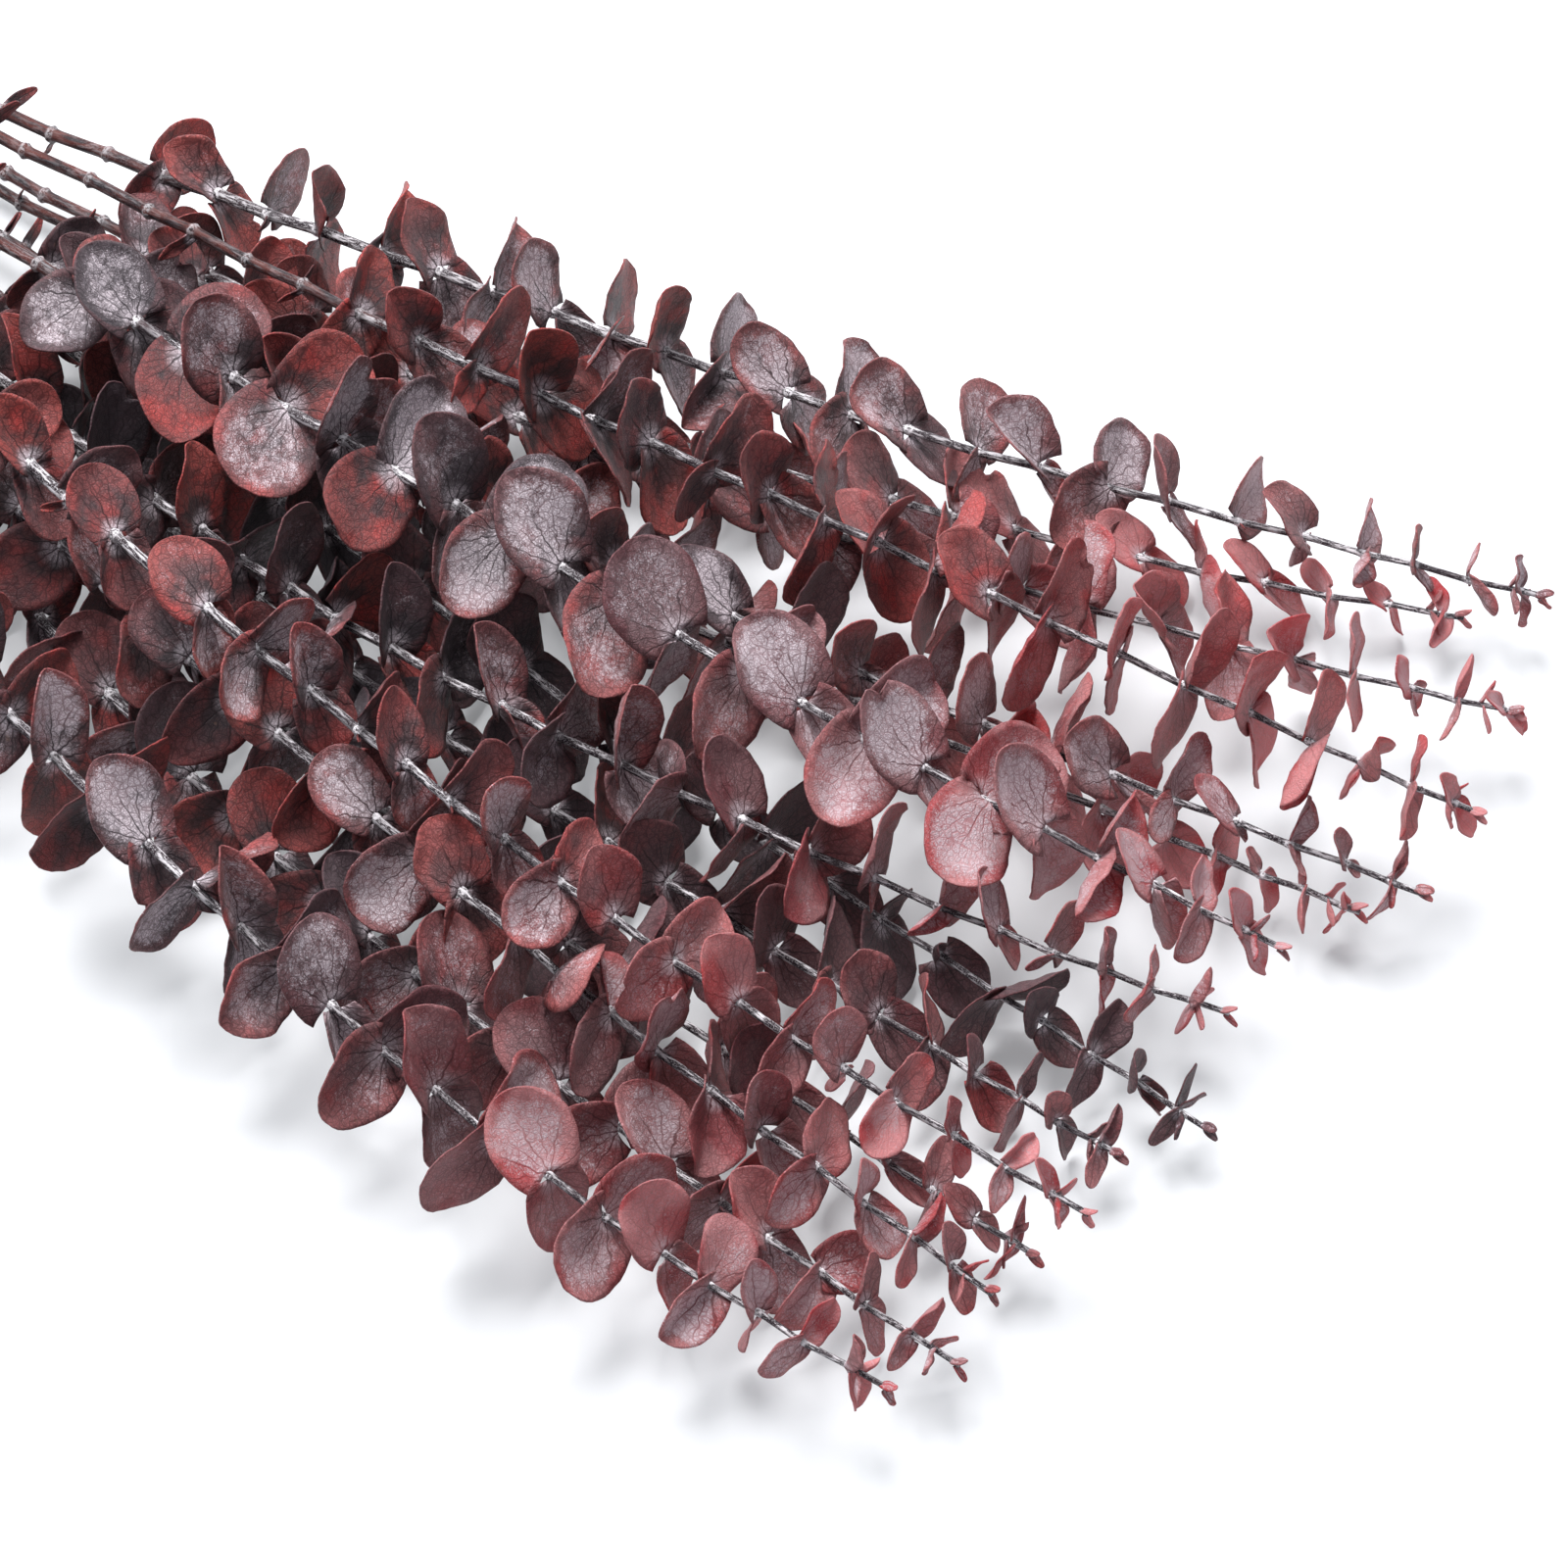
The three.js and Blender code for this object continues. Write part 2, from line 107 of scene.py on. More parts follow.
LAYER, BEARING_MID, BEARING_TIP, EXTRA, BARE, SIZE, UPTURN = range(7)


def unevenness(branch, pair, trait):
    """A repeatable number between -1 and 1 for one trait of one leaf."""
    wave = math.sin(branch * 12.9898 + pair * 78.233 + trait * 37.719) * 437.585
    return 2 * (wave - math.floor(wave)) - 1


def smooth(low, high, value):
    share = np.clip((value - low) / (high - low), 0, 1)
    return share * share * (3 - 2 * share)


def through_three(first, second, third, middle, share):
    a = first * (share - middle) * (share - 1) / middle
    b = second * share * (share - 1) / (middle * (middle - 1))
    c = third * share * (share - middle) / (1 - middle)
    return a + b + c


def cut_end_place(index):
    """How far across and how high the cut end of a branch lies."""
    pitch = STEM_DIAMETER_AT_CUT + LANE_GAP
    layer = BRANCHES[index][LAYER]
    mates = [k for k, branch in enumerate(BRANCHES) if branch[LAYER] == layer]
    place = mates.index(index) - (len(mates) - 1) / 2
    height = STEM_DIAMETER_AT_CUT / 2 + CUT_END_LAYER[layer] * (pitch + WANDER)
    return -place * pitch * LANE_SPREAD, height


def stem_point(index, share):
    branch = BRANCHES[index]
    reach = BUNCH_REACH + branch[EXTRA]
    cut_y, cut_z = cut_end_place(index)
    cut_x = CUT_END_REACH + CUT_END_SCATTER * unevenness(index, 0, 1)
    tip_x = reach * math.cos(branch[BEARING_TIP] * DEGREE)
    tip_y = reach * math.sin(branch[BEARING_TIP] * DEGREE)
    mid_x = cut_x + (tip_x - cut_x) * MID_SHARE
    mid_y = mid_x * math.tan(branch[BEARING_MID] * DEGREE)
    belly = BELLY_HEIGHT[branch[LAYER]] + BELLY_UNEVENNESS * unevenness(index, 0, 2)
    tip = TIP_HEIGHT[branch[LAYER]] + TIP_UNEVENNESS * unevenness(index, 0, 3)
    x = cut_x + (tip_x - cut_x) * share
    fade = math.sin(math.pi * share)
    phase = 2 * math.pi * x / WANDER_LENGTH + 3 * index
    return np.array((
        x,
        through_three(cut_y, mid_y, tip_y, MID_SHARE, share) + WANDER * fade * math.sin(phase),
        through_three(cut_z, belly, tip, MID_SHARE, share) + WANDER * fade * math.cos(phase) * 0.6,
    ))


def unit(vector):
    return vector / np.linalg.norm(vector)


def stem_radius(share):
    return (STEM_DIAMETER_AT_CUT + (STEM_DIAMETER_AT_TIP - STEM_DIAMETER_AT_CUT) * share) / 2


def stem_frame(index, share):
    """The directions along, beside and above a stem at one place."""
    along = unit(stem_point(index, share + 0.001) - stem_point(index, share - 0.001))
    side = unit(np.cross((0, 0, 1), along))
    return along, side, np.cross(along, side)


def away_from_stem(directions, angle):
    _, side, above = directions
    return side * math.cos(angle) + above * math.sin(angle)


def stem_length(index):
    return float(np.linalg.norm(stem_point(index, 1) - stem_point(index, 0)))


def leaf_nodes(index):
    """The share along the stem, and the leaf size, of each pair of one branch."""
    branch = BRANCHES[index]
    run = stem_length(index)
    nodes = []
    travelled = branch[BARE]
    while travelled < run - 3:
        leafy = (travelled - branch[BARE]) / (run - branch[BARE])
        shrink = 1 - (1 - TIP_LEAF_SHARE) * smooth(FULL_LEAF_UNTIL, 1, leafy) ** 1.6
        opening = 0.82 + 0.18 * smooth(0, 0.15, leafy)
        nodes.append((travelled / run, LEAF_SIZE * branch[SIZE] * shrink * opening))
        spread = 1 + 0.12 * unevenness(index, len(nodes), 4)
        travelled += PAIR_SPACING * (0.3 + 0.7 * shrink) * spread
    return nodes


class Leaf:
    """One leaf in place: its own directions, its size and how deep its hollow is."""

    def __init__(self, spot, swing, sweep, scale):
        directions = spot["directions"]
        along = directions[0]
        outward = away_from_stem(directions, spot["angle"] + swing)
        self.spot = spot
        self.midrib = outward * math.cos(sweep) + along * math.sin(sweep)
        flat = unit(np.cross(self.midrib, along))
        face = np.cross(flat, self.midrib)
        self.across = flat * math.cos(spot["roll"]) + face * math.sin(spot["roll"])
        self.normal = np.cross(self.across, self.midrib)
        self.root = spot["rib_centre"] - self.midrib * PETIOLE_REACH
        self.outward = outward
        self.length = spot["length"] * scale
        self.width = spot["width"] * scale
        self.cup = spot["cup"] * scale
        self.centre = self.root + self.midrib * self.length / 2 - self.normal * self.cup
        self.points = self.at(FEELERS[:, 0], FEELERS[:, 1])

    def at(self, x, y):
        """Places on the leaf: x runs along the midrib and y across it, from -1 to 1."""
        return (self.centre
                + np.outer(x * self.length / 2, self.midrib)
                + np.outer(y * self.width / 2, self.across)
                + np.outer(self.cup * (x * x + y * y), self.normal))


def ring_of(count, radius):
    turns = np.arange(count) * 2 * math.pi / count
    return np.stack((radius * np.cos(turns), radius * np.sin(turns)), axis=1)


FEELERS = np.concatenate((np.zeros((1, 2)), ring_of(6, 0.4), ring_of(12, 0.72), ring_of(20, 1)))


def meets(local, sizes, reach):
    """Which rows of points, seen from their leaves, come within reach or lie on both sides."""
    length, width, cup = (sizes[..., k:k + 1] for k in range(3))
    x = local[..., 0] / (length / 2 + reach)
    y = local[..., 1] / (width / 2 + reach)
    across = x * x + y * y
    height = local[..., 2] - cup * across
    inside = across < 1
    lowest = np.where(inside, height, np.inf).min(axis=-1)
    highest = np.where(inside, height, -np.inf).max(axis=-1)
    return (lowest < reach) & (highest > -reach)


class LeafField:
    """The leaves that are in place, and the stems that a new leaf has to miss."""

    def __init__(self, room):
        self.leaves = []
        self.centres = np.empty((room, 3))
        self.axes = np.empty((room, 3, 3))
        self.sizes = np.empty((room, 3))
        self.points = np.empty((room, len(FEELERS), 3))
        stems = []
        for index in range(len(BRANCHES)):
            count = math.ceil(stem_length(index) / STEM_FEELER_STEP)
            for k in range(count + 1):
                girth = rib_offset(k / count) + RIB_RADIUS
                stems.append((index, girth, *stem_point(index, k / count)))
        self.stems = np.array(stems)

    def put(self, leaf):
        k = len(self.leaves)
        self.leaves.append(leaf)
        self.centres[k] = leaf.centre
        self.axes[k] = (leaf.midrib, leaf.across, leaf.normal)
        self.sizes[k] = (leaf.length, leaf.width, leaf.cup)
        self.points[k] = leaf.points

    def is_clear(self, leaf):
        if leaf.points[:, 2].min() < FLOOR_CLEARANCE:
            return False
        other = self.stems[self.stems[:, 0] != leaf.spot["index"]]
        near = other[np.linalg.norm(other[:, 2:] - leaf.centre, axis=1) < NEIGHBOURHOOD]
        axes = np.array((leaf.midrib, leaf.across, leaf.normal))
        if len(near):
            girth = near[:, 1]
            local = (near[:, 2:] - leaf.centre) @ axes.T
            x = local[:, 0] / (leaf.length / 2 + girth)
            y = local[:, 1] / (leaf.width / 2 + girth)
            across = x * x + y * y
            if np.any((across < 1) & (np.abs(local[:, 2] - leaf.cup * across) < girth)):
                return False
        placed = len(self.leaves)
        close = np.linalg.norm(self.centres[:placed] - leaf.centre, axis=1) < NEIGHBOURHOOD
        if close.any():
            arms = leaf.points[None] - self.centres[:placed][close][:, None, :]
            seen = np.einsum("nkj,nij->nki", arms, self.axes[:placed][close])
            if meets(seen, self.sizes[:placed][close], LEAF_CLEARANCE).any():
                return False
            seen = (self.points[:placed][close] - leaf.centre) @ axes.T
            own_size = np.array((leaf.length, leaf.width, leaf.cup))
            if meets(seen, own_size, LEAF_CLEARANCE).any():
                return False
        return clears_own_stem(leaf)


def clears_own_stem(leaf):
    """The two edges that leave the petiole must pass the branch's own stem."""
    spot = leaf.spot
    along = spot["directions"][0]
    x, y = LOW_SHOULDER
    for corner in leaf.at(np.array((x, x)), np.array((-y, y))):
        for share in (0, 0.1, 0.2, 0.3, 0.4, 0.6, 0.8):
            arm = leaf.root + (corner - leaf.root) * share - spot["middle"]
            arm = arm - along * arm.dot(along)
            if np.linalg.norm(arm) < spot["radius"] + RIB_GAP + 0.05:
                return False
    return True


def settle(spot, field):
    """Turns a leaf about its petiole until it is clear, and makes it smaller only then."""
    steepest = LEAN_MOST * DEGREE
    for scale in SCALES:
        for swing in SWINGS:
            for sweep in SWEEPS:
                tilt = min(steepest, max(-steepest, spot["sweep"] + sweep * DEGREE))
                leaf = Leaf(spot, swing * DEGREE, tilt, scale)
                if field.is_clear(leaf):
                    return leaf
    return Leaf(spot, 0, steepest, WITHERED_SCALE)


def rib_angle(index):
    return (45 + 20 * unevenness(index, 0, 5)) * DEGREE


def rib_offset(share):
    return stem_radius(share) + RIB_GAP + RIB_RADIUS + RIB_STAND_OFF


def leaf_spot(index, number, share, size, row):
    directions = stem_frame(index, share)
    rib = rib_angle(index) + row * math.pi
    middle = stem_point(index, share)
    trait = 10 + row * 10
    tilt = (-1 if number % 2 == 0 else 1) * CROSSING_ANGLE / 2
    angle = rib + (tilt + 9 * unevenness(index, number, trait + 2)) * DEGREE
    outward = away_from_stem(directions, angle)
    across = np.cross(outward, directions[0])
    upward = BRANCHES[index][UPTURN] + UPTURN_SPREAD * unevenness(index, number, 7)
    leaning = LEAN_USUAL + LEAN_SPREAD * unevenness(index, number, trait + 3)
    rolling = TWIST * unevenness(index, number, trait + 4)
    length = size * (1 + 0.06 * unevenness(index, number, trait + 1))
    return {
        "index": index,
        "number": number,
        "row": row,
        "share": share,
        "rib_centre": middle + away_from_stem(directions, rib) * rib_offset(share),
        "directions": directions,
        "middle": middle,
        "radius": stem_radius(share),
        "angle": angle,
        "sweep": (leaning - upward * outward[2]) * DEGREE,
        "roll": (rolling - upward * across[2]) * DEGREE,
        "cup": size * CUP_SHARE * (1 + unevenness(index, number, trait + 5)),
        "length": length,
        "width": length * (1.02 + 0.08 * unevenness(index, number, trait + 6)),
    }


def settle_leaves():
    """Every leaf of the bunch, the low branches first."""
    nodes = [leaf_nodes(index) for index in range(len(BRANCHES))]
    field = LeafField(2 * sum(len(own) for own in nodes))
    for layer in ("low", "middle", "top"):
        for index, branch in enumerate(BRANCHES):
            if branch[LAYER] != layer:
                continue
            for number, (share, size) in enumerate(nodes[index]):
                for row in (0, 1):
                    field.put(settle(leaf_spot(index, number, share, size, row), field))
    return field.leaves


LEAVES = settle_leaves()

# ---- From the layout to the model's own frame ----


def layout_origin():
    """Where the layout's origin lies in the model, found from the cut end of one stem."""
    corners = np.array([corner.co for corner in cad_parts["stem_04"].data.vertices])
    nearest = corners[np.argsort(corners[:, 0])[:5]]
    return nearest.mean(axis=0) - stem_point(3, 0) * MM


ORIGIN = layout_origin()


def to_model(points):
    return points * MM + ORIGIN


def make_piece(name, points, faces, fields, material, replaced=()):
    """A smooth mesh from points in layout millimetres, with one attribute for each field."""
    mesh = bpy.data.meshes.new(name)
    mesh.from_pydata(to_model(points).tolist(), [], faces)
    for field, values in fields.items():
        values = np.asarray(values, dtype=np.float32)
        kind = "FLOAT_VECTOR" if values.ndim == 2 else "FLOAT"
        attribute = mesh.attributes.new(field, kind, "POINT")
        attribute.data.foreach_set("vector" if values.ndim == 2 else "value", values.ravel())
    mesh.shade_smooth()
    mesh.materials.append(material)
    piece = bpy.data.objects.new(name, mesh)
    bpy.context.collection.objects.link(piece)
    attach(piece, "root")
    for node in replaced:
        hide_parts(node)
    return piece


# ---- Leaves ----
LEAF_ROWS, LEAF_COLUMNS = 15, 12
BLADE_THICKNESS = 0.42 * MM
LOBE_OFFSET = 0.5              # keeps the base lobes of a pair apart, along the stem
LOWEST_BLADE = 0.25            # height of the lowest part of any blade above the table
TEAR_DEPTH, TEAR_ANGLE = 0.16, 0.20


def leaf_grid():
    """Places on a round blade: share of its length, half-width there, share across."""
    turn = np.linspace(0.62, math.pi - 0.07, LEAF_ROWS)
    along = (math.cos(turn[0]) - np.cos(turn)) / (math.cos(turn[0]) - math.cos(turn[-1]))
    across = np.linspace(-1, 1, LEAF_COLUMNS)
    across = np.sign(across) * np.abs(across) ** 0.85
    u, v = np.meshgrid(along, across, indexing="ij")
    half = np.repeat(np.sin(turn)[:, None], LEAF_COLUMNS, axis=1)
    return u.ravel(), half.ravel(), v.ravel()


LEAF_U, LEAF_HALF, LEAF_V = leaf_grid()


def grid_faces(rows, columns, start):
    faces = []
    for row in range(rows - 1):
        for column in range(columns - 1):
            a = start + row * columns + column
            faces.append((a, a + 1, a + 1 + columns, a + columns))
    return faces


def leaf_habit(leaf):
    """How one leaf differs from a plain round blade."""
    index, number, row = (leaf.spot[key] for key in ("index", "number", "row"))

    def odd(trait):
        return unevenness(index, number, 40 + 20 * row + trait)

    size = leaf.length
    grown = float(smooth(6, 21, size))
    folded = 0.20 + 0.18 * odd(0)
    if odd(1) > 0.50:
        folded += 0.45
    if odd(1) > 0.85:
        folded += 0.40
    return {
        "narrow": 0.58 + 0.41 * grown,
        "broad": (0.10 + 0.22 * odd(13)) * grown,
        "fold": folded * (1.2 - 0.4 * grown),
        "lobe": 0.05 + 0.09 * grown * (1 + 0.4 * odd(2)),
        "point": 0.02 + 0.08 * max(0, odd(3)) + 0.10 * (1 - grown),
        "bend": 0.13 * odd(4) - 0.03,
        "wave": 0.040 * size * (0.6 + 0.6 * abs(odd(5))),
        "wave_turn": 3 * odd(6),
        "wave_count": 2 + int(1.5 * (1 + odd(7))),
        "screw": 0.30 * odd(8) * (1 if abs(odd(9)) < 0.85 else 2),
        "egg": 0.10 * odd(10),
        "torn": odd(11) > 0.90 and size > 18,
        "torn_turn": odd(12),
    }


def leaf_blade(leaf, seed):
    """The blade's points in layout millimetres, and the fields that its colours need."""
    habit = leaf_habit(leaf)
    u, v = LEAF_U, LEAF_V
    length = leaf.length
    width = leaf.width * habit["narrow"]
    half = LEAF_HALF * (1 + habit["egg"] * (1 - 2 * u))
    rim = np.sqrt((2 * u - 1) ** 2 + (LEAF_HALF * v) ** 2)
    turn = np.arctan2(LEAF_HALF * v, 2 * u - 1)
    x = u + habit["broad"] * u * (1 - u) + habit["point"] * smooth(0.72, 1, u) ** 1.5
    x = x - habit["lobe"] * (1 - smooth(0, 0.4, u)) * np.abs(v) ** 1.6
    x = x * length / (1 + habit["point"])
    y = half * v * width / 2
    if habit["torn"]:
        gap = np.exp(-((turn - habit["torn_turn"] * 2) / TEAR_ANGLE) ** 2) * smooth(0.55, 1, rim)
        x = x - np.cos(turn) * gap * TEAR_DEPTH * length
        y = y - np.sin(turn) * gap * TEAR_DEPTH * length
    crease = np.sqrt(y * y + 0.5) - math.sqrt(0.5)
    lift = leaf.cup * (rim * rim - 1) + crease * math.sin(habit["fold"])
    y = y * (1 - (1 - math.cos(habit["fold"])) * smooth(0, 2, np.abs(y)))
    lift = lift + habit["wave"] * np.sin(habit["wave_count"] * turn + habit["wave_turn"]) * rim ** 3
    lift = lift + 0.012 * length * np.sin(0.9 * x + seed) * np.sin(0.8 * y + 2 * seed)
    lift = lift + habit["bend"] * length * u * u + habit["screw"] * u * y
    offset = LOBE_OFFSET * (1 if leaf.spot["row"] else -1)
    foot = (leaf.spot["middle"] + leaf.outward * leaf.spot["radius"] * 0.8
            + leaf.spot["directions"][0] * offset)
    points = (foot + np.outer(x, leaf.midrib) + np.outer(y, leaf.across)
              + np.outer(lift, leaf.normal))
    points[:, 2] = np.maximum(points[:, 2], LOWEST_BLADE)
    plane = np.stack((x, y, np.full_like(x, 9 * seed)), axis=1)
    return points, {"leaf_plane": plane, "rim": rim, "reach": np.hypot(x, y) / length}


# How red, how waxy and how young-looking the leaves of each branch are, from the +Y side
# to the -Y side. The low red and wax of the low-layer branches, most of all in the ninth,
# tenth and twelfth rows, are partly their own tint and partly painted shade that darkens the lowest
# leaves.
BRANCH_TINTS_AND_SHADE = (
    (0.50, 0.75, 0.40),
    (0.65, 0.50, 1.00),
    (0.60, 0.65, 1.00),
    (0.75, 0.30, 1.00),
    (0.40, 0.65, 0.50),
    (0.60, 0.40, 1.00),
    (0.32, 0.95, 0.90),
    (0.32, 0.60, 0.80),
    (0.00, 0.30, 0.15),
    (0.08, 0.25, 0.35),
    (0.62, 0.60, 0.90),
    (0.15, 0.30, 0.50),
    (0.42, 0.60, 0.80),
    (0.32, 0.50, 0.70),
    (0.28, 0.75, 0.90),
)


def leaf_tint_and_shade(leaf):
    """The colour of one leaf: how red, how young and how waxy it is, with painted shade in the red
    and wax of the low branches.
    """
    index, number, row = (leaf.spot[key] for key in ("index", "number", "row"))
    share = leaf.spot["share"]
    odd = unevenness(index, number, 34 + row)
    # The low layer's red and wax hold painted shade as well as each branch's own tint.
    branch_red_and_shade, branch_wax_and_shade, youth = BRANCH_TINTS_AND_SHADE[index]
    near_tip = float(smooth(0.60, 1.0, share)) * (0.85 + 0.35 * odd) * youth
    red = branch_red_and_shade + 0.42 * unevenness(index, number, 30 + row) + 0.35 * near_tip
    wax = branch_wax_and_shade + 0.34 * unevenness(index, number, 32 + row)
    wax = wax * (0.65 + 0.35 * float(smooth(0.35, 0.55, share)))
    if share < 0.62 and odd > 0.1 + 1.6 * (share - 0.3):
        # Many of the lower leaves have lost their wax and show the plain dye.
        red, wax = red + 0.30, 0.12 + 0.1 * odd
    if leaf.spot.get("dried"):
        red, wax, near_tip = 0.5, 0.05, 0
    return {
        "red": min(1, max(0, red)),
        "young": min(1, max(0, near_tip)),
        "wax": min(1, max(0.05, wax)),
    }


# Size, lean in degrees and share of the stem's run of the pairs that make a bud.
BUD_PAIRS = ((7.0, 30, 0.985), (4.6, 62, 0.997))
BUD_NUMBER, DRIED_NUMBER = 60, 90      # numbers of these leaves on their branch start here
DRIED_SIZE, DRIED_SPREAD = 9, 3.5
DRIED_WIDTH = 0.55
DRIED_LEAN = 35


def bud_leaves(index):
    """The two half-open pairs of the bud at a stem's end."""
    buds = []
    for pair, (size, sweep, share) in enumerate(BUD_PAIRS):
        for row in (0, 1):
            spot = leaf_spot(index, BUD_NUMBER + pair, share, size, row)
            spot["roll"] = 0
            buds.append(Leaf(spot, 0, sweep * DEGREE, 1))
    return buds


def dried_leaves(index):
    """The few shrivelled leaves left on the bare part of a stem."""
    run = stem_length(index)
    left = []
    for number, place in enumerate(stem_joints(index)[0]):
        for row in (0, 1):
            if unevenness(index, number, 80 + row) > 0.35:
                size = DRIED_SIZE + DRIED_SPREAD * unevenness(index, number, 82 + row)
                spot = leaf_spot(index, DRIED_NUMBER + number, place / run, size, row)
                spot["dried"] = True
                spot["width"] *= DRIED_WIDTH
                lean = DRIED_LEAN * unevenness(index, number, 84 + row) * DEGREE
                left.append(Leaf(spot, 0, lean, 1))
    return left


def make_leaf_row(index, row, material):
    side = ("left", "right")[row]
    name = f"{index + 1:02d}_{side}"
    own = [leaf for leaf in LEAVES + bud_leaves(index) + dried_leaves(index)
           if leaf.spot["index"] == index and leaf.spot["row"] == row]
    points, faces = [], []
    fields = {field: [] for field in ("leaf_plane", "rim", "reach", "red", "young", "wax")}
    for number, leaf in enumerate(own):
        seed = 1.7 * number + 31 * row + 7.3 * index
        blade, marks = leaf_blade(leaf, seed)
        faces += grid_faces(LEAF_ROWS, LEAF_COLUMNS, len(points) * len(LEAF_U))
        points.append(blade)
        for field, value in leaf_tint_and_shade(leaf).items():
            marks[field] = np.full(len(LEAF_U), value)
        for field, values in marks.items():
            fields[field].append(values)
    fields = {field: np.concatenate(values) for field, values in fields.items()}
    piece = make_piece(f"leaf_row_{name}", np.concatenate(points), faces, fields,
                       material, (f"leaves_{name}",))
    thicken = piece.modifiers.new("thickness", "SOLIDIFY")
    thicken.thickness = BLADE_THICKNESS
    thicken.offset = 0
    return piece


# ---- Stems ----
STEM_SIDES = 10
RING_OFFSETS = (-2.6, -1.3, -0.7, -0.25, 0.25, 0.7, 1.3, 2.6)
ZIGZAG = 0.35                  # how far a stem steps aside from one joint to the next
BARE_SPACING = 19              # between the joints of the bare part
JOINT_SWELLING, BARE_SWELLING = 0.30, 0.16
CUT_SLANT = 1.6                # the cut end leans by this much
STEM_PLANE_STEP = 600          # sets the patterns of the stems apart


def stem_joints(index):
    """How far along the stem each ring-like joint lies, leafy or bare, in millimetres."""
    run = stem_length(index)
    leafy = [share * run for share, _ in leaf_nodes(index)]
    bare = []
    place = leafy[0] - BARE_SPACING
    while place > 6:
        bare.append(place)
        place -= BARE_SPACING * (1 + 0.25 * unevenness(index, len(bare), 6))
    return bare[::-1], leafy


def stem_places(index, joints):
    """Where along the stem its rings lie: close together at each joint."""
    run = stem_length(index)
    places = {0.0, run}
    for joint in joints:
        places.update(joint + offset for offset in RING_OFFSETS)
    places.update((joints[1:] + joints[:-1]) / 2)
    return np.array(sorted(place for place in places if 0 <= place <= run))


def tube_faces(rings):
    faces = []
    for ring in range(rings - 1):
        for k in range(STEM_SIDES):
            a, b = ring * STEM_SIDES + k, ring * STEM_SIDES + (k + 1) % STEM_SIDES
            faces.append((a, b, b + STEM_SIDES, a + STEM_SIDES))
    last = (rings - 1) * STEM_SIDES
    faces.append(tuple(range(STEM_SIDES - 1, -1, -1)))
    faces.append(tuple(range(last, last + STEM_SIDES)))
    return faces


def make_stem(index, material):
    run = stem_length(index)
    bare, leafy = stem_joints(index)
    joints = np.array(bare + leafy)
    places = stem_places(index, joints)
    shifts = np.interp(places, joints, ZIGZAG * (-1.0) ** np.arange(len(joints)))
    turns = np.arange(STEM_SIDES) * 2 * math.pi / STEM_SIDES
    points, plane, ringed, bareness = [], [], [], []
    for place, shift in zip(places, shifts):
        share = place / run
        directions = stem_frame(index, share)
        nearest = joints[np.argmin(np.abs(joints - place))]
        bump = math.exp(-(place - nearest) ** 2)
        nakedness = 1 - float(smooth(leafy[0] - 30, leafy[0] + 40, place))
        swelling = 1 + (JOINT_SWELLING + BARE_SWELLING * nakedness) * bump
        middle = stem_point(index, share) + away_from_stem(directions, rib_angle(index)) * shift
        for turn in turns:
            flute = 1 + 0.05 * math.cos(2 * turn + index) + 0.03 * math.cos(5 * turn + place / 9)
            radius = stem_radius(share) * swelling * flute
            arm = away_from_stem(directions, turn) * radius
            slant = directions[0] * math.cos(turn + index) * CUT_SLANT if place == 0 else 0
            points.append(middle + arm + slant)
            plane.append((place + STEM_PLANE_STEP * index,
                          radius * math.cos(turn), radius * math.sin(turn)))
            ringed.append(bump)
            bareness.append(nakedness)
    fields = {"stem_plane": plane, "ringed": ringed, "bareness": bareness}
    number = f"{index + 1:02d}"
    return make_piece(f"branch_stem_{number}", np.array(points), tube_faces(len(places)), fields,
                      material, (f"stem_{number}",))


# ---- Materials ----


def shade(code):
    """A colour from its usual six-figure code, as light amounts."""
    parts = [int(code[k:k + 2], 16) / 255 for k in (0, 2, 4)]
    light = [part / 12.92 if part < 0.04 else ((part + 0.055) / 1.055) ** 2.4 for part in parts]
    return (*light, 1)


HEART_DARK, HEART_RED = shade("211a22"), shade("46211f")
OUTER_DARK, OUTER_RED = shade("33222a"), shade("b0443b")
DYE_RED = shade("c4352c")
YOUNG_PINK, YOUNG_RED = shade("fba6a8"), shade("dc3a40")
DRY_BROWN, RIM_RED, VEIN_DARK = shade("7a5236"), shade("6b1f22"), shade("1b1218")
LEAF_WAX, LIT_THROUGH = shade("ded2da"), shade("d8646a")
BARK_DARK, BARK_BROWN = shade("15121a"), shade("332329")
BARE_DARK, BARE_RED = shade("1b1217"), shade("512520")
STEM_WAX = shade("dad6da")
TABLE_COLOUR, TABLE_GLOW = (0.50, 0.51, 0.525, 1), (0.95, 0.975, 1.0, 1)


